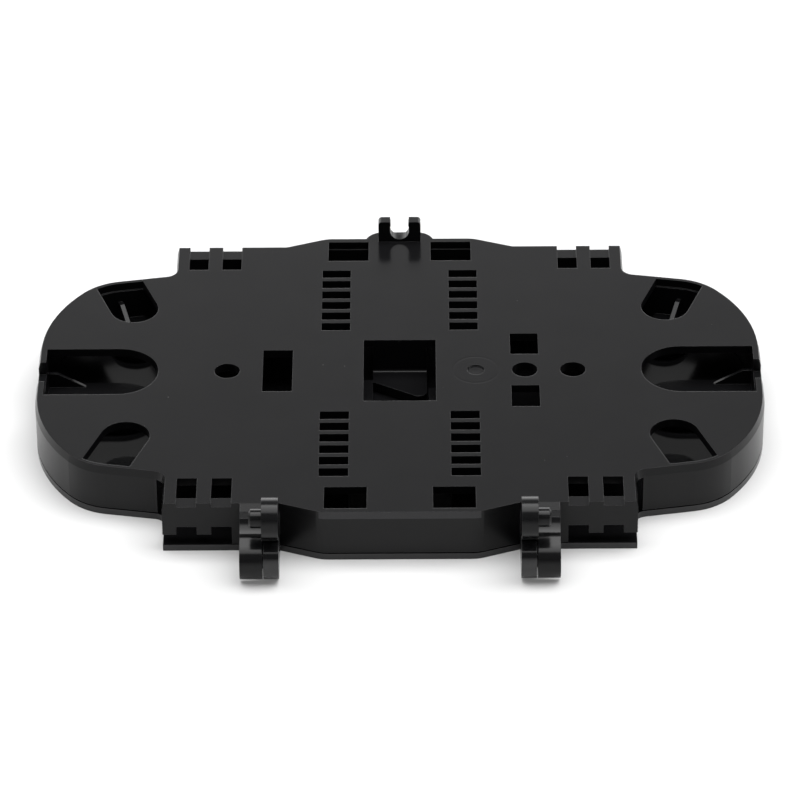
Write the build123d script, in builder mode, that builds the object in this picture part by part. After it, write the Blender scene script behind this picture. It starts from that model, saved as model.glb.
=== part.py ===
from build123d import *
import os
from math import cos, pi, radians, sin, sqrt, tan

# Splice tray of black ABS, lying on its cover with the tray floor uppermost.
# Millimetres. The origin is the centre of the cover's underside, X runs along
# the tray, Y runs to the latch side and Z runs up.

# Heights
cover_thickness = 1.5
parting_gap = 0.3
tray_height = 10.5
floor_thickness = 1.9
wall = 1.7
overrun = 1.0

# Outline of the tray, one quarter of it
half_length = 79.1
end_flat_half = 8.5
bend_radius = 35.45
bend_angle = 40.0
shoulder_radius = 13.45
shoulder_angle = 40.0
lobe_reach = 28.9
block_half_depth = 49.1
middle_half_length = 16.5
middle_step = 3.45
middle_ramp = 9.3
armpit_radius = 2.5
middle_corner_radius = 7.0
rim_band_height = 1.7
rim_band_inset = 0.45
middle_band_inset = 0.12

# Splice combs, one slot and one rib to each pitch
slot_pitch = 4.2
slot_width = 2.92
slot_length = 6.34
slot_row_x = 14.1
slot_first_y = 17.01
slots_per_comb = 6
comb_depth = 6.3
comb_barb = 0.3
comb_barb_height = 0.9

# Openings in the tray floor
cable_hole_length = 9.05
cable_hole_depth = 7.7
cable_hole_x = 11.5
cable_hole_inset = 5.32
middle_hole_length = 15.82
middle_hole_depth = 23.34
screw_hole_radius = 2.77
screw_hole_left = 37.66
screw_hole_near = 27.27
screw_hole_far = 37.77
side_hole_length = 6.5
side_hole_depth = 15.8
side_hole_x = 26.65
twin_hole_length = 6.15
twin_hole_depth = 8.0
twin_hole_x = 27.3
twin_hole_y = 10.0
gate_x = 16.6
gate_radius = 1.85
gate_depth = 0.3

# Round lobes: the stadium opening, its tab and the two ribs that carry it
stadium_half_width = 8.7
stadium_reach = 26.4
end_notch_half_width = 3.6
end_notch_depth = 3.2
tab_thickness = 1.3
tab_rim_gap = 0.2
end_rib_thickness = 0.8
end_rib_y = 7.4
end_rib_drop = 5.4
end_rib_flat = 2.0
rib_slope_angle = 30.0

# Diagonal openings, their tabs and ribs
diagonal_half_width = 5.3
diagonal_inset_x = 1.6
diagonal_offset_y = 1.76
diagonal_angle = 20.7
diagonal_rim = 1.25
diagonal_rib_thickness = 1.0
diagonal_rib_drop = 4.6
diagonal_rib_flat = 1.3

# Cable tie blocks at the four corners
tie_hole_length = 4.3
tie_hole_depth = 5.8
tie_hole_outer_inset = 5.1
tie_hole_inner_inset = 12.5
tie_bar_depth = 3.3
tie_bar_recess = 1.0
tie_bar_height = 6.1
tie_tooth_height = 8.1
pillar_thickness = 1.6
port_reach = 1.5
port_depth = 13.0

# Guide in the middle of the tray
guide_wall = 1.0
guide_thickness = 2.0
guide_half_length = 5.95
guide_fillet = 0.7
guide_corner = 1.75
guide_short_reach = 4.2
guide_long_reach = 11.0
strip_outer_x = 9.0
strip_front_y = 11.0
strip_gap = 0.4
left_strip_end = 8.2
right_strip_end = 5.0

# Hinge along the front
hinge_reach = 8.95
hinge_z = 4.4
ear_radius = 4.3
upper_ear_radius = 4.4
pin_radius = 2.03
pin_clearance = 0.05
pin_length = 2.7
pin_chamfer = 0.4
barrel_mouth = 3.4
ear_inner_x = 25.4
ear_thickness = 3.5
cover_ear_thickness = 3.25
bracket_thickness = 4.75
ear_relief = 0.3
seat_clearance = 0.55
floor_clearance = 0.1
arm_top_drop = 2.0
arm_bottom_drop = 8.0
arm_elbow_drop = 0.8
arm_elbow_reach = 5.4
bracket_bottom_drop = 8.9
crest_reach = 3.2
crest_rise = 0.15
seat_edge_reach = 5.03
seat_edge_drop = 0.25
lip_reach = 7.97
lip_drop = 2.95
barrel_flat_angle = 108.0

# Latch fork along the back, and the stud it grips
fork_half_width = 4.76
fork_slot_half = 2.1
fork_inset = 1.4
fork_thickness = 2.2
fork_height = 5.3
fork_slot_z = 2.8
fork_corner = 0.8
fork_bump = 0.13
fork_bump_radius = 0.7
fork_bump_z = 4.4
flange_half_width = 7.7
flange_reach = 2.6
flange_corner = 4.0
stud_radius = 1.9
stud_length = 2.9
recess_clearance = 0.65
recess_inset = 1.75
recess_top_gap = 0.3

# Levels and places that follow from the sizes above
rim_z = cover_thickness + parting_gap
top_z = rim_z + tray_height
floor_z = top_z - floor_thickness
tab_z = rim_z + tab_rim_gap
upper_hinge_z = hinge_z + tray_height
cover_fork_base = rim_z
block_half_length = half_length - lobe_reach
middle_half_depth = block_half_depth + middle_step
stadium_start = half_length - stadium_reach
tie_hole_outer_x = block_half_length - tie_hole_outer_inset
tie_hole_inner_x = block_half_length - tie_hole_inner_inset
hinge_y = block_half_depth + hinge_reach
bracket_inner_x = ear_inner_x + ear_thickness

sides = (-1, 1)


# Outline of the tray and of its cover
bend_x = half_length - bend_radius
shoulder_x = bend_x + (bend_radius - shoulder_radius) * cos(radians(bend_angle))
shoulder_y = end_flat_half + (bend_radius - shoulder_radius) * sin(radians(bend_angle))
slope_angle = bend_angle + shoulder_angle
slope_x = shoulder_x + shoulder_radius * cos(radians(slope_angle))
slope_y = shoulder_y + shoulder_radius * sin(radians(slope_angle))
armpit_y = slope_y + (slope_x - block_half_length) / tan(radians(slope_angle))

with BuildSketch() as outline:
    with BuildLine():
        Line((0, 0), (half_length, 0))
        Line((half_length, 0), (half_length, end_flat_half))
        CenterArc((bend_x, end_flat_half), bend_radius, 0, bend_angle)
        CenterArc((shoulder_x, shoulder_y), shoulder_radius, bend_angle, shoulder_angle)
        Polyline(
            (slope_x, slope_y),
            (block_half_length, armpit_y),
            (block_half_length, block_half_depth),
            (middle_half_length + middle_ramp, block_half_depth),
            (middle_half_length, middle_half_depth),
            (0, middle_half_depth),
            (0, 0),
        )
    make_face()
    armpit = outline.vertices().sort_by_distance((block_half_length, armpit_y))[0]
    fillet(armpit, radius=armpit_radius)
    middle_corner = outline.vertices().sort_by_distance((middle_half_length, middle_half_depth))[0]
    fillet(middle_corner, radius=middle_corner_radius)
    mirror(about=Plane.XZ)
    mirror(about=Plane.YZ)

with BuildSketch() as inner_outline:
    add(outline.sketch)
    offset(amount=-wall, kind=Kind.INTERSECTION)

with BuildSketch() as wall_middle:
    add(outline.sketch)
    offset(amount=-wall / 2, kind=Kind.INTERSECTION)


# Shapes of the stadium and diagonal openings, which their tabs repeat
stadium_length = half_length - stadium_start - stadium_half_width
diagonal_end_x = shoulder_x - diagonal_inset_x
diagonal_end_y = shoulder_y + diagonal_offset_y
diagonal_reach = middle_half_depth - diagonal_end_y

# Way from the round end of a diagonal opening, along its axis, to the middle of the wall
axis_x = sin(radians(diagonal_angle))
axis_y = cos(radians(diagonal_angle))
offset_x = diagonal_end_x - shoulder_x
offset_y = diagonal_end_y - shoulder_y
along = offset_x * axis_x + offset_y * axis_y
across_squared = offset_x**2 + offset_y**2 - along**2
diagonal_rib_far = sqrt((shoulder_radius - wall / 2) ** 2 - across_squared) - along


def stadium_openings():
    """The two stadium shapes, running out to the end of the outline."""
    for side in sides:
        with Locations((side * (stadium_start + stadium_half_width), 0)):
            Circle(stadium_half_width)
        with Locations((side * (half_length - stadium_length / 2), 0)):
            Rectangle(stadium_length, 2 * stadium_half_width)


def diagonal_openings():
    """The four diagonal shapes, running out past the wall."""
    for side_x in sides:
        for side_y in sides:
            turn = -side_x * side_y * diagonal_angle
            with Locations(Location((side_x * diagonal_end_x, side_y * diagonal_end_y, 0), (0, 0, turn))):
                Circle(diagonal_half_width)
                with Locations((0, side_y * diagonal_reach / 2)):
                    Rectangle(2 * diagonal_half_width, diagonal_reach)


with BuildSketch() as stadium_holes:
    stadium_openings()
    add(inner_outline.sketch, mode=Mode.INTERSECT)

with BuildSketch() as diagonal_limit:
    add(outline.sketch)
    offset(amount=-diagonal_rim, kind=Kind.INTERSECTION)

with BuildSketch() as diagonal_holes:
    diagonal_openings()
    add(diagonal_limit.sketch, mode=Mode.INTERSECT)

with BuildSketch() as lobe_tabs:
    stadium_openings()
    diagonal_openings()
    add(wall_middle.sketch, mode=Mode.INTERSECT)


# Latch fork on its rounded flange, the same on the tray and on the cover
cable_hole_y = middle_half_depth - cable_hole_inset
flange_root_y = cable_hole_y + cable_hole_depth / 2
flange_back_y = middle_half_depth + flange_reach
fork_front_y = middle_half_depth - fork_inset


def fork(base_z, plate):
    """Fork standing on a plate whose top is at base_z, with a stud groove along Y."""
    with BuildSketch(Plane.XY.offset(base_z - plate)) as flange:
        with Locations((0, flange_back_y - flange_half_width)):
            RectangleRounded(2 * flange_half_width, 2 * flange_half_width, flange_corner)
        with Locations((0, flange_root_y - flange_half_width)):
            Rectangle(2 * flange_half_width, 2 * flange_half_width, mode=Mode.SUBTRACT)
    extrude(flange.sketch, amount=plate)
    with BuildSketch(Plane.XZ.offset(-fork_front_y)) as prongs:
        with Locations((0, base_z + (fork_height - plate) / 2)):
            RectangleRounded(2 * fork_half_width, fork_height + plate, fork_corner)
        with Locations((0, base_z - plate / 2)):
            Rectangle(2 * fork_half_width, plate)
        with Locations((0, base_z + fork_slot_z)):
            Circle(fork_slot_half, mode=Mode.SUBTRACT)
        with Locations((0, base_z + (fork_slot_z + fork_height) / 2)):
            Rectangle(2 * fork_slot_half, fork_height - fork_slot_z, mode=Mode.SUBTRACT)
        with Locations(
            (fork_slot_half + fork_bump_radius - fork_bump, base_z + fork_bump_z),
            (-fork_slot_half - fork_bump_radius + fork_bump, base_z + fork_bump_z),
        ):
            Circle(fork_bump_radius)
    extrude(prongs.sketch, amount=-fork_thickness)


def on_both_sides(inner_x, thickness):
    """Sketch planes facing +X at the near face of a lug on each side of the tray."""
    return [Plane.YZ.offset(inner_x), Plane.YZ.offset(-inner_x - thickness)]


def pin_end_edges(piece, axis_z):
    """The round edges at the free ends of the two pins whose axis is at axis_z."""
    ends = piece.faces().filter_by(Axis.X)
    ends = ends.filter_by_position(Axis.Y, -hinge_y - pin_radius, -hinge_y + pin_radius)
    ends = ends.filter_by_position(Axis.Z, axis_z - pin_radius, axis_z + pin_radius)
    disc_area = pi * pin_radius * pin_radius
    return ends.filter_by(lambda face: abs(face.area / disc_area - 1) < 1 / 9).edges()


# Tray body
comb_first_rib_y = slot_first_y - slot_pitch / 2
rib_thickness = slot_pitch - slot_width
tie_bar_y = block_half_depth - tie_bar_depth / 2
pillar_x = tie_hole_inner_x - (tie_hole_length + pillar_thickness) / 2
entry_inner_x = pillar_x + pillar_thickness / 2
recess_half = fork_half_width + recess_clearance
recess_top_z = cover_fork_base + fork_height + recess_top_gap

with BuildPart() as tray_body:
    # Shell: floor plate and perimeter wall
    with BuildSketch(Plane.XY.offset(rim_z)):
        add(outline.sketch)
    extrude(amount=tray_height)
    top_face = tray_body.faces().sort_by(Axis.Z)[-1]
    top_edges = top_face.outer_wire().edges()
    lobe_edges = [edge for edge in top_edges if abs(edge.center().X) > block_half_length + overrun]
    chamfer(lobe_edges, length=rim_band_inset, length2=rim_band_height, reference=top_face)
    top_face = tray_body.faces().sort_by(Axis.Z)[-1]
    top_edges = top_face.outer_wire().edges()
    middle_edges = [edge for edge in top_edges if abs(edge.center().X) < middle_half_length + middle_ramp]
    chamfer(middle_edges, length=middle_band_inset, length2=rim_band_height, reference=top_face)
    with BuildSketch(Plane.XY.offset(rim_z)):
        add(inner_outline.sketch)
    extrude(amount=tray_height - floor_thickness, mode=Mode.SUBTRACT)

    # Tie blocks: bars and pillars
    for side_x in sides:
        for side_y in sides:
            with BuildSketch(Plane.XY.offset(floor_z)):
                bar_length = block_half_length - entry_inner_x
                with Locations((side_x * (block_half_length - bar_length / 2), side_y * tie_bar_y)):
                    Rectangle(bar_length, tie_bar_depth)
            extrude(amount=-(tie_tooth_height - floor_thickness))
            with BuildSketch(Plane.XY.offset(floor_z)):
                with Locations((side_x * pillar_x, side_y * tie_bar_y)):
                    Rectangle(pillar_thickness, tie_bar_depth)
            extrude(amount=-(tray_height - floor_thickness))

    # Pocket that holds the latch stud, open to the back
    recess_wall_y = middle_half_depth - recess_inset
    with BuildSketch(Plane.XY.offset(rim_z)):
        pocket_depth = middle_half_depth - recess_wall_y + wall
        with Locations((0, middle_half_depth - pocket_depth / 2)):
            Rectangle(2 * (recess_half + wall), pocket_depth)
    extrude(amount=recess_top_z + wall - rim_z)
    with BuildSketch(Plane.XY.offset(rim_z)):
        with Locations((0, recess_wall_y + overrun * 2)):
            Rectangle(2 * recess_half, overrun * 4)
    extrude(amount=recess_top_z - rim_z, mode=Mode.SUBTRACT)
    with BuildSketch(Plane.XZ.offset(-recess_wall_y + wall / 2)):
        with Locations((0, cover_fork_base + fork_slot_z)):
            Circle(stud_radius)
    extrude(amount=-(stud_length + wall / 2))

    # Splice combs under the bars between the slots
    for side_x in sides:
        for side_y in sides:
            with BuildSketch(Plane.YZ.offset(side_x * slot_row_x)):
                for number in range(slots_per_comb + 1):
                    rib_y = side_y * (comb_first_rib_y + number * slot_pitch)
                    tip_z = floor_z - comb_depth
                    with BuildLine():
                        Polyline(
                            (rib_y - rib_thickness / 2, floor_z),
                            (rib_y - rib_thickness / 2, tip_z + comb_barb_height),
                            (rib_y - rib_thickness / 2 - comb_barb, tip_z + comb_barb_height),
                            (rib_y - rib_thickness / 4, tip_z),
                            (rib_y + rib_thickness / 4, tip_z),
                            (rib_y + rib_thickness / 2 + comb_barb, tip_z + comb_barb_height),
                            (rib_y + rib_thickness / 2, tip_z + comb_barb_height),
                            (rib_y + rib_thickness / 2, floor_z),
                            close=True,
                        )
                    make_face()
            extrude(amount=slot_length / 2, both=True)

    # Guide in the middle: a tab on a wall that hangs from the hole's back edge
    guide_back_y = middle_hole_depth / 2
    guide_top_z = tab_z + guide_thickness
    with BuildSketch(Plane.YZ.offset(-guide_half_length)):
        with BuildLine():
            CenterArc((guide_back_y - guide_fillet, guide_top_z + guide_fillet), guide_fillet, -90, 90)
            Polyline(
                (guide_back_y, guide_top_z + guide_fillet),
                (guide_back_y, floor_z),
                (guide_back_y + guide_wall, floor_z),
                (guide_back_y + guide_wall, tab_z),
                (guide_back_y - guide_fillet, tab_z),
                (guide_back_y - guide_fillet, guide_top_z),
            )
        make_face()
    extrude(amount=2 * guide_half_length)
    with BuildSketch(Plane.XY.offset(tab_z)) as guide_tab:
        with BuildLine():
            Polyline(
                (-guide_half_length, guide_back_y),
                (guide_half_length, guide_back_y),
                (guide_half_length, guide_back_y - guide_long_reach),
                (-guide_half_length, guide_back_y - guide_short_reach),
                close=True,
            )
        make_face()
        fillet(guide_tab.vertices().sort_by(Axis.Y)[0], radius=guide_corner)
    extrude(amount=guide_thickness)

    # Strips along both sides of the guide, hung from the floor plate by walls
    left_strip = (-1, left_strip_end, guide_half_length)
    right_strip = (1, right_strip_end, guide_half_length + strip_gap)
    for side, end_y, inner_x in (left_strip, right_strip):
        middle_y = (end_y - strip_front_y) / 2
        strip_depth = end_y + strip_front_y
        with BuildSketch(Plane.XY.offset(tab_z)):
            with Locations((side * (strip_outer_x + inner_x) / 2, middle_y)):
                Rectangle(strip_outer_x - inner_x, strip_depth)
        extrude(amount=guide_thickness)
        with BuildSketch(Plane.XY.offset(tab_z)):
            with Locations((side * (strip_outer_x - guide_wall / 2), middle_y)):
                Rectangle(guide_wall, strip_depth)
        extrude(amount=floor_z - tab_z)

    # Openings through the floor
    with BuildSketch(Plane.XY.offset(top_z + overrun)):
        for side_x in sides:
            for side_y in sides:
                comb_middle_y = slot_first_y + (slots_per_comb - 1) * slot_pitch / 2
                with Locations((side_x * slot_row_x, side_y * comb_middle_y)):
                    with GridLocations(slot_length, slot_pitch, 1, slots_per_comb):
                        Rectangle(slot_length, slot_width)
                with Locations((side_x * cable_hole_x, side_y * cable_hole_y)):
                    Rectangle(cable_hole_length, cable_hole_depth)
                tie_hole_y = side_y * (block_half_depth - tie_bar_depth - tie_hole_depth / 2)
                tie_holes = [(side_x * x, tie_hole_y) for x in (tie_hole_outer_x, tie_hole_inner_x)]
                with Locations(*tie_holes):
                    Rectangle(tie_hole_length, tie_hole_depth)
        Rectangle(middle_hole_length, middle_hole_depth)
        with Locations((-screw_hole_left, 0), (screw_hole_near, 0), (screw_hole_far, 0)):
            Circle(screw_hole_radius)
        with Locations((-side_hole_x, 0)):
            Rectangle(side_hole_length, side_hole_depth)
        with Locations((twin_hole_x, twin_hole_y), (twin_hole_x, -twin_hole_y)):
            Rectangle(twin_hole_length, twin_hole_depth)
        add(stadium_holes.sketch)
        add(diagonal_holes.sketch)
    extrude(amount=-(floor_thickness + overrun), mode=Mode.SUBTRACT)

    # Tabs that hold the fibre down, at the level of the rim
    with BuildSketch(Plane.XY.offset(tab_z)):
        add(lobe_tabs.sketch)
    extrude(amount=tab_thickness)

    # Ribs that carry the tabs of the stadium openings, two to each
    rib_root_x = half_length - wall
    rib_top_z = top_z - end_rib_drop
    end_rib_slope = (rib_top_z - tab_z) / tan(radians(rib_slope_angle))
    for side in sides:
        for rib_y in (end_rib_y, -end_rib_y):
            with BuildSketch(Plane.XZ.offset(-rib_y)):
                with BuildLine():
                    Polyline(
                        (side * (half_length - wall / 2), tab_z),
                        (side * (half_length - wall / 2), rib_top_z),
                        (side * (rib_root_x - end_rib_flat), rib_top_z),
                        (side * (rib_root_x - end_rib_flat - end_rib_slope), tab_z),
                        close=True,
                    )
                make_face()
            extrude(amount=end_rib_thickness / 2, both=True)

    # Ribs that carry the tabs of the diagonal openings
    diagonal_rib_top = top_z - diagonal_rib_drop
    diagonal_rib_near = diagonal_rib_far - diagonal_rib_flat
    diagonal_rib_near -= (diagonal_rib_top - tab_z) / tan(radians(rib_slope_angle))
    for side_x in sides:
        for side_y in sides:
            rib_plane = Plane(
                origin=(side_x * diagonal_end_x, side_y * diagonal_end_y, 0),
                x_dir=(side_x * axis_x, side_y * axis_y, 0),
                z_dir=(side_y * axis_y, -side_x * axis_x, 0),
            )
            with BuildSketch(rib_plane):
                with BuildLine():
                    Polyline(
                        (diagonal_rib_far, tab_z),
                        (diagonal_rib_far, diagonal_rib_top),
                        (diagonal_rib_far - wall / 2 - diagonal_rib_flat, diagonal_rib_top),
                        (diagonal_rib_near - wall / 2, tab_z),
                        close=True,
                    )
                make_face()
            extrude(amount=diagonal_rib_thickness / 2, both=True)

    # Notches through the end walls
    for side in sides:
        with BuildSketch(Plane.XY.offset(top_z + overrun)):
            with Locations((side * (half_length + wall / 2 + overrun / 2), 0)):
                Rectangle(2 * wall + overrun + wall, 2 * end_notch_half_width)
        extrude(amount=-(end_notch_depth + overrun), mode=Mode.SUBTRACT)

    # Cable entries under the tie bars, and the ports beside them
    entry_length = block_half_length - entry_inner_x
    notch_top = top_z - tie_bar_height
    tooth_top = top_z - tie_tooth_height
    port_outer_x = block_half_length + port_reach
    port_length = port_reach + 2 * wall
    port_y = block_half_depth - tie_bar_depth - port_depth / 2
    corners = [(side_x, side_y) for side_x in sides for side_y in sides]
    entries = [(x * (entry_inner_x + (entry_length + overrun) / 2), y * tie_bar_y) for x, y in corners]
    outer_bars = [(x * tie_hole_outer_x, y * tie_bar_y) for x, y in corners]
    inner_bars = [(x * tie_hole_inner_x, y * tie_bar_y) for x, y in corners]
    ports = [(x * (port_outer_x - port_length / 2), y * port_y) for x, y in corners]
    with BuildSketch(Plane.XY.offset(rim_z)):
        with Locations(*entries):
            Rectangle(entry_length + overrun, tie_bar_depth + 2 * overrun)
    extrude(amount=tooth_top - rim_z, mode=Mode.SUBTRACT)
    with BuildSketch(Plane.XY.offset(tooth_top)):
        with Locations(*outer_bars, *inner_bars):
            Rectangle(tie_hole_length, tie_bar_depth + 2 * overrun)
    extrude(amount=notch_top - tooth_top, mode=Mode.SUBTRACT)
    with BuildSketch(Plane.XY.offset(top_z + overrun)):
        with Locations(*outer_bars, *inner_bars):
            Rectangle(tie_hole_length, tie_bar_depth + 2 * overrun)
    extrude(amount=-(tie_bar_recess + overrun), mode=Mode.SUBTRACT)
    with BuildSketch(Plane.XY.offset(rim_z)):
        with Locations(*ports):
            Rectangle(port_length, port_depth)
    extrude(amount=tray_height - floor_thickness, mode=Mode.SUBTRACT)

    # Gate mark
    with BuildSketch(Plane.XY.offset(top_z)):
        with Locations((gate_x, 0)):
            Circle(gate_radius)
    extrude(amount=-gate_depth, mode=Mode.SUBTRACT)

    # Latch fork
    fork(top_z, floor_thickness)

    # Upper hinge ears, the next tray's pins
    for plane in on_both_sides(ear_inner_x, ear_thickness):
        with BuildSketch(plane):
            with BuildLine():
                Polyline(
                    (-block_half_depth + wall, top_z - arm_top_drop),
                    (-block_half_depth, top_z - arm_top_drop),
                    (-block_half_depth - arm_elbow_reach, top_z - arm_elbow_drop),
                    (-hinge_y, upper_hinge_z),
                    (-hinge_y, hinge_z + ear_radius),
                    (-hinge_y + ear_radius, hinge_z),
                    (-block_half_depth, top_z - arm_bottom_drop),
                    (-block_half_depth + wall, top_z - arm_bottom_drop),
                    close=True,
                )
            make_face()
            with Locations((-hinge_y, upper_hinge_z)):
                Circle(upper_ear_radius)
            with Locations((-hinge_y, hinge_z)):
                Circle(ear_radius + ear_relief, mode=Mode.SUBTRACT)
        extrude(amount=ear_thickness)

    # Brackets with the lower hinge barrels
    for plane in on_both_sides(bracket_inner_x, bracket_thickness):
        with BuildSketch(plane):
            with BuildLine():
                Polyline(
                    (-block_half_depth + wall, top_z),
                    (-block_half_depth, top_z),
                    (-block_half_depth - crest_reach, top_z + crest_rise),
                    (-block_half_depth - seat_edge_reach, top_z - seat_edge_drop),
                    (-block_half_depth - lip_reach, top_z - seat_edge_drop),
                    (-block_half_depth - lip_reach, top_z - lip_drop),
                    (
                        -hinge_y + ear_radius * cos(radians(barrel_flat_angle)),
                        hinge_z + ear_radius * sin(radians(barrel_flat_angle)),
                    ),
                    (-hinge_y, top_z - bracket_bottom_drop),
                    (-block_half_depth + wall, top_z - bracket_bottom_drop),
                    close=True,
                )
            make_face()
            with Locations((-hinge_y, hinge_z)):
                Circle(ear_radius)
                Circle(pin_radius + pin_clearance, mode=Mode.SUBTRACT)
            with Locations((-hinge_y, hinge_z - ear_radius / 2)):
                Rectangle(barrel_mouth, ear_radius, mode=Mode.SUBTRACT)
            with Locations((-hinge_y, upper_hinge_z)):
                Circle(ear_radius + seat_clearance, mode=Mode.SUBTRACT)
        extrude(amount=bracket_thickness)

    # Stub pins on the upper ears
    for side in sides:
        with BuildSketch(Plane.YZ.offset(side * (ear_inner_x + ear_thickness))):
            with Locations((-hinge_y, upper_hinge_z)):
                Circle(pin_radius)
        extrude(amount=side * pin_length)
    chamfer(pin_end_edges(tray_body, upper_hinge_z), length=pin_chamfer)

tray_body.part.label = "tray_body"


# Cover
with BuildPart() as cover:
    with BuildSketch():
        add(outline.sketch)
    extrude(amount=cover_thickness)

    # Latch fork
    fork(cover_fork_base, cover_fork_base)

    # Hinge ears, under the ears of the tray
    for plane in on_both_sides(ear_inner_x, cover_ear_thickness):
        with BuildSketch(plane):
            with BuildLine():
                Polyline(
                    (-hinge_y, floor_clearance),
                    (-block_half_depth + wall, floor_clearance),
                    (-block_half_depth + wall, cover_thickness),
                    (-hinge_y, cover_thickness),
                    close=True,
                )
            make_face()
            with Locations((-hinge_y, hinge_z)):
                Circle(ear_radius)
        extrude(amount=cover_ear_thickness)

    # Pins in the lower barrels of the tray
    for side in sides:
        with BuildSketch(Plane.YZ.offset(side * (ear_inner_x + cover_ear_thickness))):
            with Locations((-hinge_y, hinge_z)):
                Circle(pin_radius)
        extrude(amount=side * (pin_length + bracket_inner_x - ear_inner_x - cover_ear_thickness))
    chamfer(pin_end_edges(cover, hinge_z), length=pin_chamfer)

cover.part.label = "cover"

os.makedirs("parts", exist_ok=True)
export_step(tray_body.part, "parts/tray_body.step")
export_step(cover.part, "parts/cover.step")
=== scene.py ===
import math

import bpy
import numpy as np
from mathutils import Matrix, Vector

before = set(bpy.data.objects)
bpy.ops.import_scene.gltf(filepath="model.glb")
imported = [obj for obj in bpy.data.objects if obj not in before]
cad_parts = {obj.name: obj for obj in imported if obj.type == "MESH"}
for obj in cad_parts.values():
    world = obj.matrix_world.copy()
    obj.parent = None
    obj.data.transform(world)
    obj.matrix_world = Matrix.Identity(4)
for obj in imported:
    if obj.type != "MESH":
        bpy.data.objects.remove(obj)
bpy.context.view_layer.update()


# Surface under the tray
# A sheet of matt white board, faintly lit through from below, and wide enough to
# fill the view from any side. The tray lies on it, cover down.
board_half_width = 6.0
board_divisions = 2
board_colour = (0.55, 0.55, 0.55, 1.0)
board_glow_colour = (1.0, 1.0, 1.0, 1.0)
board_glow = 0.12
board_roughness = 0.75
board_specular = 0.2

steps = np.linspace(-board_half_width, board_half_width, board_divisions)
board_x, board_y = np.meshgrid(steps, steps, indexing="ij")
board_points = np.stack([board_x.ravel(), board_y.ravel(), np.zeros(board_x.size)], axis=1)
board_mesh = bpy.data.meshes.new("white_board")
board_mesh.from_pydata(board_points.tolist(), [], [(0, 2, 3, 1)])
board = bpy.data.objects.new("white_board", board_mesh)
bpy.context.scene.collection.objects.link(board)

board_finish = bpy.data.materials.new("matt_white_board")
board_finish.use_nodes = True
board_shader = board_finish.node_tree.nodes["Principled BSDF"]
board_shader.inputs["Base Color"].default_value = board_colour
board_shader.inputs["Emission Color"].default_value = board_glow_colour
board_shader.inputs["Emission Strength"].default_value = board_glow
board_shader.inputs["Roughness"].default_value = board_roughness
board_shader.inputs["Specular IOR Level"].default_value = board_specular
board_mesh.materials.append(board_finish)


# Cover
# A thin moulded plate of black ABS that closes the tray's open side, here the
# underside. It hooks on the tray by two pins at the front and a fork at the back.
def effect_group(name, inputs, outputs):
    """A shader node group with named float inputs and typed outputs, and its in and out nodes."""
    group = bpy.data.node_groups.new(name, "ShaderNodeTree")
    for label, value in inputs:
        socket = group.interface.new_socket(label, in_out="INPUT", socket_type="NodeSocketFloat")
        socket.default_value = value
    for label, kind in outputs:
        group.interface.new_socket(label, in_out="OUTPUT", socket_type=kind)
    return group, group.nodes.new("NodeGroupInput"), group.nodes.new("NodeGroupOutput")


def math_node(tree, operation, first, second=None, clamp=False):
    """A Math node whose inputs are sockets or plain numbers, and its result socket."""
    node = tree.nodes.new("ShaderNodeMath")
    node.operation = operation
    node.use_clamp = clamp
    for index, value in enumerate((first, second)):
        if isinstance(value, bpy.types.NodeSocket):
            tree.links.new(value, node.inputs[index])
        elif value is not None:
            node.inputs[index].default_value = value
    return node.outputs[0]


def noise_node(tree, place, scale, detail):
    """The value socket of a noise over a place, whose scale is a socket or a plain number."""
    noise = tree.nodes.new("ShaderNodeTexNoise")
    tree.links.new(place, noise.inputs["Vector"])
    if isinstance(scale, bpy.types.NodeSocket):
        tree.links.new(scale, noise.inputs["Scale"])
    else:
        noise.inputs["Scale"].default_value = scale
    noise.inputs["Detail"].default_value = detail
    return noise.outputs["Fac"]


def moulded_skin():
    """Height and roughness of a polished mould's skin: slow flow waves, fine peel and patches.

    The height is the wave noise plus a share of the peel noise. The roughness is
    its middle value plus the spread times how far a slower noise is off its mean.
    """
    group, given, result = effect_group(
        "moulded_skin",
        [("Wave scale", 60.0), ("Peel scale", 900.0), ("Peel share", 0.25),
         ("Roughness", 0.16), ("Spread", 0.05)],
        [("Height", "NodeSocketFloat"), ("Roughness", "NodeSocketFloat")],
    )
    noise_mean = 0.5
    patch_scale = 110.0
    place = group.nodes.new("ShaderNodeTexCoord").outputs["Object"]
    waves = noise_node(group, place, given.outputs["Wave scale"], 1.0)
    peel = noise_node(group, place, given.outputs["Peel scale"], 3.0)
    fine = math_node(group, "MULTIPLY", peel, given.outputs["Peel share"])
    group.links.new(math_node(group, "ADD", waves, fine), result.inputs["Height"])
    patches = noise_node(group, place, patch_scale, 4.0)
    centred = math_node(group, "SUBTRACT", patches, noise_mean)
    swing = math_node(group, "MULTIPLY", centred, given.outputs["Spread"])
    roughness = math_node(group, "ADD", given.outputs["Roughness"], swing)
    group.links.new(roughness, result.inputs["Roughness"])
    return group


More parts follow.
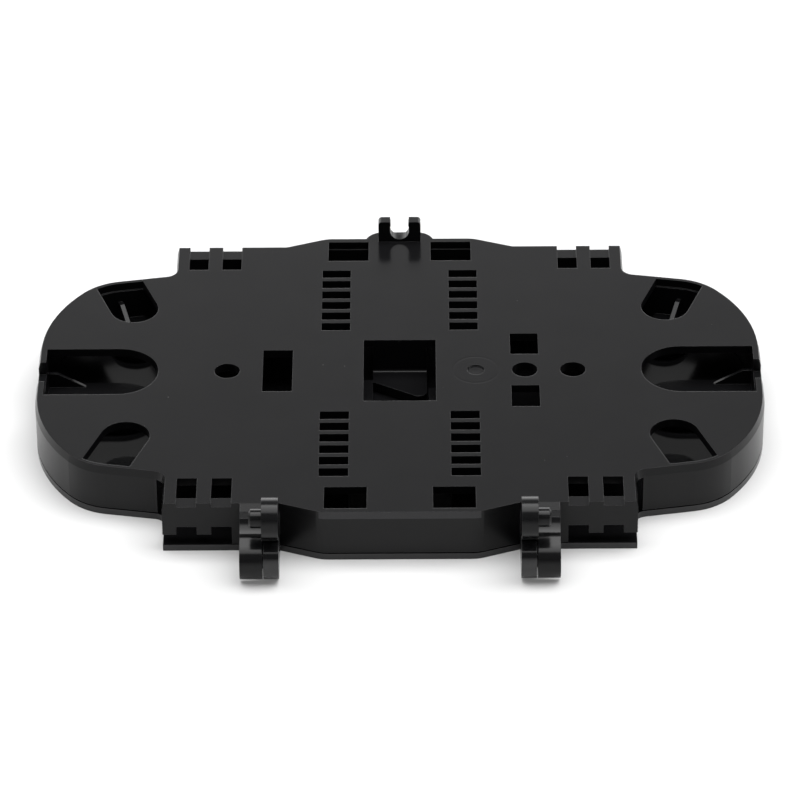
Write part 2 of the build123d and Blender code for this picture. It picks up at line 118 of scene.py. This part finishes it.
def edge_rub():
    """Mask of the rubbed edges, broken up by a noise.

    It is the strength times what the dot product of the rounded and the true
    normal falls short of 1, held to 0 to 1, times the noise.
    """
    group, given, result = effect_group(
        "edge_rub", [("Radius", 0.00022), ("Strength", 6.0)], [("Mask", "NodeSocketFloat")]
    )
    break_scale = 700.0
    round_off = group.nodes.new("ShaderNodeBevel")
    round_off.samples = 6
    group.links.new(given.outputs["Radius"], round_off.inputs["Radius"])
    true_normal = group.nodes.new("ShaderNodeNewGeometry").outputs["Normal"]
    turned = group.nodes.new("ShaderNodeVectorMath")
    turned.operation = "DOT_PRODUCT"
    group.links.new(round_off.outputs["Normal"], turned.inputs[0])
    group.links.new(true_normal, turned.inputs[1])
    lost = math_node(group, "SUBTRACT", 1.0, turned.outputs["Value"])
    scaled = math_node(group, "MULTIPLY", lost, given.outputs["Strength"], clamp=True)
    place = group.nodes.new("ShaderNodeTexCoord").outputs["Object"]
    breaks = noise_node(group, place, break_scale, 3.0)
    group.links.new(math_node(group, "MULTIPLY", scaled, breaks), result.inputs["Mask"])
    return group


def upright_faces():
    """Mask of the walls, which the mould leaves duller than its polished flats, and whose colour
    carries painted shade and painted sheen.

    It is the level limit less the normal's rise, times the steepness, held to 0
    to 1, so it is 1 where the normal lies level and 0 where it stands steep.
    """
    group, given, result = effect_group(
        "upright_faces", [("Level limit", 0.6), ("Steepness", 8.0)], [("Mask", "NodeSocketFloat")]
    )
    normal = group.nodes.new("ShaderNodeTexCoord").outputs["Normal"]
    parts = group.nodes.new("ShaderNodeSeparateXYZ")
    group.links.new(normal, parts.inputs[0])
    rise = math_node(group, "ABSOLUTE", parts.outputs["Z"])
    below = math_node(group, "SUBTRACT", given.outputs["Level limit"], rise)
    mask = math_node(group, "MULTIPLY", below, given.outputs["Steepness"], clamp=True)
    group.links.new(mask, result.inputs["Mask"])
    return group


def rim_band():
    """Mask of the band along the top of the middle's front and back walls, which carries a painted
    sheen.

    It is 1 above one height, beyond one depth and between the ramps, and 0
    elsewhere, so the openings' walls and the hinge brackets are left out.
    """
    group, given, result = effect_group(
        "rim_band",
        [("Lowest", 0.0106), ("Depth", 0.0519), ("Half length", 0.0171)],
        [("Mask", "NodeSocketFloat")],
    )
    place = group.nodes.new("ShaderNodeTexCoord").outputs["Object"]
    parts = group.nodes.new("ShaderNodeSeparateXYZ")
    group.links.new(place, parts.inputs[0])
    deep = math_node(group, "ABSOLUTE", parts.outputs["Y"])
    along = math_node(group, "ABSOLUTE", parts.outputs["X"])
    outermost = math_node(group, "GREATER_THAN", deep, given.outputs["Depth"])
    on_middle = math_node(group, "LESS_THAN", along, given.outputs["Half length"])
    high = math_node(group, "GREATER_THAN", parts.outputs["Z"], given.outputs["Lowest"])
    where = math_node(group, "MULTIPLY", outermost, on_middle)
    group.links.new(math_node(group, "MULTIPLY", where, high), result.inputs["Mask"])
    return group


def gate_mark():
    """Height of the witness that the mould's gate leaves: a shallow ring round a small dot.

    The ring is e to minus the square of the distance from it in ring widths. The
    dot is e to minus the fourth power of the distance in dot radii. Both go down.
    """
    group, given, result = effect_group(
        "gate_mark",
        [("Centre X", 0.0166), ("Ring radius", 0.0050), ("Ring width", 0.00022),
         ("Dot radius", 0.00085)],
        [("Height", "NodeSocketFloat")],
    )
    dot_power = 4.0
    place = group.nodes.new("ShaderNodeTexCoord").outputs["Object"]
    parts = group.nodes.new("ShaderNodeSeparateXYZ")
    group.links.new(place, parts.inputs[0])
    aside = math_node(group, "SUBTRACT", parts.outputs["X"], given.outputs["Centre X"])
    square_x = math_node(group, "MULTIPLY", aside, aside)
    square_y = math_node(group, "MULTIPLY", parts.outputs["Y"], parts.outputs["Y"])
    far = math_node(group, "SQRT", math_node(group, "ADD", square_x, square_y))
    from_ring = math_node(group, "SUBTRACT", far, given.outputs["Ring radius"])
    in_widths = math_node(group, "DIVIDE", from_ring, given.outputs["Ring width"])
    squared = math_node(group, "MULTIPLY", in_widths, in_widths)
    ring = math_node(group, "EXPONENT", math_node(group, "MULTIPLY", squared, -1.0))
    in_radii = math_node(group, "DIVIDE", far, given.outputs["Dot radius"])
    powered = math_node(group, "POWER", in_radii, dot_power)
    dot = math_node(group, "EXPONENT", math_node(group, "MULTIPLY", powered, -1.0))
    height = math_node(group, "SUBTRACT", 0.0, math_node(group, "ADD", ring, dot))
    group.links.new(height, result.inputs["Height"])
    return group


def settled_dust():
    """Mask of sparse dust: a spot round the middle of a few cells of a cell pattern.

    A cell has a spot where its random red is over the share that stays bare, and
    the spot is as strong as the cell's random green.
    """
    group, given, result = effect_group(
        "settled_dust",
        [("Cells", 420.0), ("Spot size", 0.055), ("Share bare", 0.93)],
        [("Mask", "NodeSocketFloat")],
    )
    place = group.nodes.new("ShaderNodeTexCoord").outputs["Object"]
    cells = group.nodes.new("ShaderNodeTexVoronoi")
    group.links.new(place, cells.inputs["Vector"])
    group.links.new(given.outputs["Cells"], cells.inputs["Scale"])
    in_spot = math_node(group, "LESS_THAN", cells.outputs["Distance"], given.outputs["Spot size"])
    draw = group.nodes.new("ShaderNodeSeparateColor")
    group.links.new(cells.outputs["Color"], draw.inputs[0])
    chosen = math_node(group, "GREATER_THAN", draw.outputs["Red"], given.outputs["Share bare"])
    spots = math_node(group, "MULTIPLY", in_spot, chosen)
    strong = math_node(group, "MULTIPLY", spots, draw.outputs["Green"])
    group.links.new(strong, result.inputs["Mask"])
    return group


def placed(tree, group, values):
    """The node that puts an effect group into a material, with its own values."""
    node = tree.nodes.new("ShaderNodeGroup")
    node.node_tree = group
    for label, value in values.items():
        node.inputs[label].default_value = value
    return node


def colour_over(tree, below, above, mask):
    """One colour laid over another: the one below plus the mask times their difference."""
    mix = tree.nodes.new("ShaderNodeMix")
    mix.data_type = "RGBA"
    if isinstance(below, bpy.types.NodeSocket):
        tree.links.new(below, mix.inputs["A"])
    else:
        mix.inputs["A"].default_value = below
    mix.inputs["B"].default_value = above
    tree.links.new(mask, mix.inputs["Factor"])
    return mix.outputs["Result"]


def black_abs(name, skin_values, wall_roughness, wall_shade_and_sheen_colour, edge_radius):
    """Black ABS from a polished mould, with duller walls whose colour is painted light, softened
    edges, rub and a little dust.
    """
    flat_colour = (0.0048, 0.0048, 0.0052, 1.0)
    rub_colour = (0.03, 0.03, 0.032, 1.0)
    dust_colour = (0.09, 0.09, 0.088, 1.0)
    finish = bpy.data.materials.new(name)
    finish.use_nodes = True
    tree = finish.node_tree
    shader = tree.nodes["Principled BSDF"]
    shader.inputs["IOR"].default_value = 1.5
    shader.inputs["Specular IOR Level"].default_value = 0.22
    skin = placed(tree, SKIN, skin_values)
    walls = placed(tree, WALLS, {})
    dullness = tree.nodes.new("ShaderNodeMix")
    dullness.data_type = "FLOAT"
    dullness.inputs["B"].default_value = wall_roughness
    tree.links.new(walls.outputs["Mask"], dullness.inputs["Factor"])
    tree.links.new(skin.outputs["Roughness"], dullness.inputs["A"])
    tree.links.new(dullness.outputs["Result"], shader.inputs["Roughness"])
    rub = placed(tree, RUB, {"Radius": edge_radius, "Strength": 5.0})
    dust = placed(tree, DUST, {})
    # Painted light: the walls get their own base colour, painted shade on the tray and a painted
    # sheen on the cover
    with_painted_walls = colour_over(tree, flat_colour, wall_shade_and_sheen_colour, walls.outputs["Mask"])
    rubbed = colour_over(tree, with_painted_walls, rub_colour, rub.outputs["Mask"])
    dusted = colour_over(tree, rubbed, dust_colour, dust.outputs["Mask"])
    tree.links.new(dusted, shader.inputs["Base Color"])
    round_off = tree.nodes.new("ShaderNodeBevel")
    round_off.samples = 6
    round_off.inputs["Radius"].default_value = edge_radius
    bump = tree.nodes.new("ShaderNodeBump")
    bump.inputs["Strength"].default_value = 0.35
    bump.inputs["Distance"].default_value = 0.00003
    tree.links.new(skin.outputs["Height"], bump.inputs["Height"])
    tree.links.new(round_off.outputs["Normal"], bump.inputs["Normal"])
    tree.links.new(bump.outputs["Normal"], shader.inputs["Normal"])
    return finish


SKIN = moulded_skin()
RUB = edge_rub()
WALLS = upright_faces()
BAND = rim_band()
GATE = gate_mark()
DUST = settled_dust()

cover_skin = {"Wave scale": 45.0, "Roughness": 0.15}
cover_wall_roughness = 0.2
# The cover's walls are painted much paler than its flats, a painted sheen for the light their edge
# catches
cover_wall_painted_sheen = (0.038, 0.038, 0.0385, 1.0)
cover_edge_radius = 0.00012

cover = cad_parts["cover"]
cover_plastic = black_abs(
    "black_abs_cover", cover_skin, cover_wall_roughness, cover_wall_painted_sheen, cover_edge_radius
)
cover.data.materials.clear()
cover.data.materials.append(cover_plastic)


# Tray body
# One moulding of black ABS: floor, wall, combs, tabs, tie blocks, hinge lugs and
# latch fork. It lies floor up on the cover, and turns on the cover's two pins.
tray_skin = {"Wave scale": 60.0, "Roughness": 0.17}
tray_wall_roughness = 0.28
# The tray's walls are painted darker than its flats, painted shade for the dim floor they face
tray_wall_painted_shade = (0.0026, 0.0026, 0.0029, 1.0)
tray_edge_radius = 0.00016
band_painted_sheen_colour = (0.03, 0.03, 0.0315, 1.0)

tray_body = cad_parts["tray_body"]
tray_plastic = black_abs(
    "black_abs_tray", tray_skin, tray_wall_roughness, tray_wall_painted_shade, tray_edge_radius
)
tray_body.data.materials.clear()
tray_body.data.materials.append(tray_plastic)

# The band along the middle's rim is painted paler than the wall below it: a painted sheen
tray_tree = tray_plastic.node_tree
tray_shader = tray_tree.nodes["Principled BSDF"]
plain_colour = tray_shader.inputs["Base Color"].links[0].from_socket
band_place = placed(tray_tree, BAND, {})
tray_walls = placed(tray_tree, WALLS, {})
on_sheen_band = math_node(tray_tree, "MULTIPLY", band_place.outputs["Mask"], tray_walls.outputs["Mask"])
with_band_sheen = colour_over(tray_tree, plain_colour, band_painted_sheen_colour, on_sheen_band)
tray_tree.links.new(with_band_sheen, tray_shader.inputs["Base Color"])

# The gate's witness lies between the combs, on the floor's outer face
witness = tray_tree.nodes.new("ShaderNodeBump")
witness.inputs["Strength"].default_value = 0.5
witness.inputs["Distance"].default_value = 0.00002
tray_tree.links.new(placed(tray_tree, GATE, {}).outputs["Height"], witness.inputs["Height"])
tray_tree.links.new(tray_shader.inputs["Normal"].links[0].from_socket, witness.inputs["Normal"])
tray_tree.links.new(witness.outputs["Normal"], tray_shader.inputs["Normal"])


# Light
# A bright overhead cloth, a white wall low in front and behind, and a darker
# room between them. It is all in the world, as a ramp over the height angle.
world = bpy.data.worlds.new("studio")
bpy.context.scene.world = world
world.use_nodes = True
sky = world.node_tree
sky.nodes.clear()
towards = sky.nodes.new("ShaderNodeTexCoord").outputs["Generated"]
parts = sky.nodes.new("ShaderNodeSeparateXYZ")
sky.links.new(towards, parts.inputs[0])
front = math_node(sky, "MULTIPLY", parts.outputs["Y"], -1.0)
angle = math_node(sky, "ARCTAN2", parts.outputs["Z"], front)

# Half a turn either way of the front horizon fills the ramp from 0 to 1, so the
# horizon is at its middle. A lean of 0 is at the middle of green in the same way.
middle = 0.5
half_turn = math_node(sky, "DIVIDE", angle, math.pi)
height_share = math_node(sky, "ADD", math_node(sky, "MULTIPLY", half_turn, middle), middle)
ramp = sky.nodes.new("ShaderNodeValToRGB")
sky.links.new(height_share, ramp.inputs["Fac"])

# Angle above the front horizon in degrees, the light that comes from there, and
# how much more of it comes from the right than from the middle. The ramp keeps
# the light in its red and the lean in its green.
studio_levels = [
    (-25.0, 0.9, -0.3),
    (10.0, 1.0, -0.3),
    (14.0, 0.22, 0.0),
    (63.0, 0.22, 0.0),
    (70.0, 4.0, 0.5),
    (90.0, 5.6, 0.5),
    (112.0, 8.6, 0.5),
    (118.0, 0.35, 0.0),
    (127.0, 0.3, 0.0),
    (140.0, 0.46, -0.9),
    (144.0, 0.61, -0.9),
    (147.0, 0.87, -0.9),
    (152.0, 1.7, -0.5),
    (160.0, 3.0, 0.0),
    (180.0, 3.0, 0.0),
]
brightest = 10.0
stops = ramp.color_ramp.elements
while len(stops) < len(studio_levels):
    stops.new(middle)
for stop, (degrees, level, lean) in zip(stops, studio_levels):
    stop.position = degrees / 360.0 + middle
    stop.color = (level / brightest, middle + middle * lean, 0.0, 1.0)
split = sky.nodes.new("ShaderNodeSeparateColor")
sky.links.new(ramp.outputs["Color"], split.inputs[0])
lean_share = math_node(sky, "MULTIPLY_ADD", split.outputs["Green"], 2.0)
lean_share.node.inputs[2].default_value = -1.0
sideways = math_node(sky, "ADD", math_node(sky, "MULTIPLY", lean_share, parts.outputs["X"]), 1.0)

# The cloth ends at both sides, so little light comes in low from left and right
cloth_end = sky.nodes.new("ShaderNodeMapRange")
cloth_end.interpolation_type = "SMOOTHSTEP"
cloth_end.inputs["From Min"].default_value = 0.45
cloth_end.inputs["From Max"].default_value = 0.9
cloth_end.inputs["To Min"].default_value = 1.0
cloth_end.inputs["To Max"].default_value = 0.4
sky.links.new(math_node(sky, "ABSOLUTE", parts.outputs["X"]), cloth_end.inputs["Value"])
reach = math_node(sky, "MULTIPLY", sideways, cloth_end.outputs["Result"])
full_level = math_node(sky, "MULTIPLY", split.outputs["Red"], brightest)
power = math_node(sky, "MULTIPLY", full_level, reach)
glow = sky.nodes.new("ShaderNodeBackground")
sky.links.new(power, glow.inputs["Strength"])
sky_out = sky.nodes.new("ShaderNodeOutputWorld")
sky.links.new(glow.outputs[0], sky_out.inputs["Surface"])
bpy.context.scene.view_settings.view_transform = "Standard"


# Camera
# A long lens that looks down on the front of the tray, as the photograph was taken.
aim = Vector((0.000052, -0.011398, 0.0123))
distance = 1.10798
elevation = math.radians(34.926)
azimuth = math.radians(0.181)
roll = math.radians(-0.389)
sensor_width = 36.0
lens_to_sensor = 6.39984

back = Vector((
    math.sin(azimuth) * math.cos(elevation),
    -math.cos(azimuth) * math.cos(elevation),
    math.sin(elevation),
))
level_right = (-back).cross(Vector((0.0, 0.0, 1.0))).normalized()
level_up = level_right.cross(-back)
right = level_right * math.cos(roll) + level_up * math.sin(roll)
up = level_up * math.cos(roll) - level_right * math.sin(roll)
turn = Matrix((right, up, back)).transposed()
camera_data = bpy.data.cameras.new("camera")
camera_data.sensor_width = sensor_width
camera_data.lens = lens_to_sensor * sensor_width
camera = bpy.data.objects.new("camera", camera_data)
camera.matrix_world = Matrix.Translation(aim + back * distance) @ turn.to_4x4()
bpy.context.scene.collection.objects.link(camera)
bpy.context.scene.camera = camera
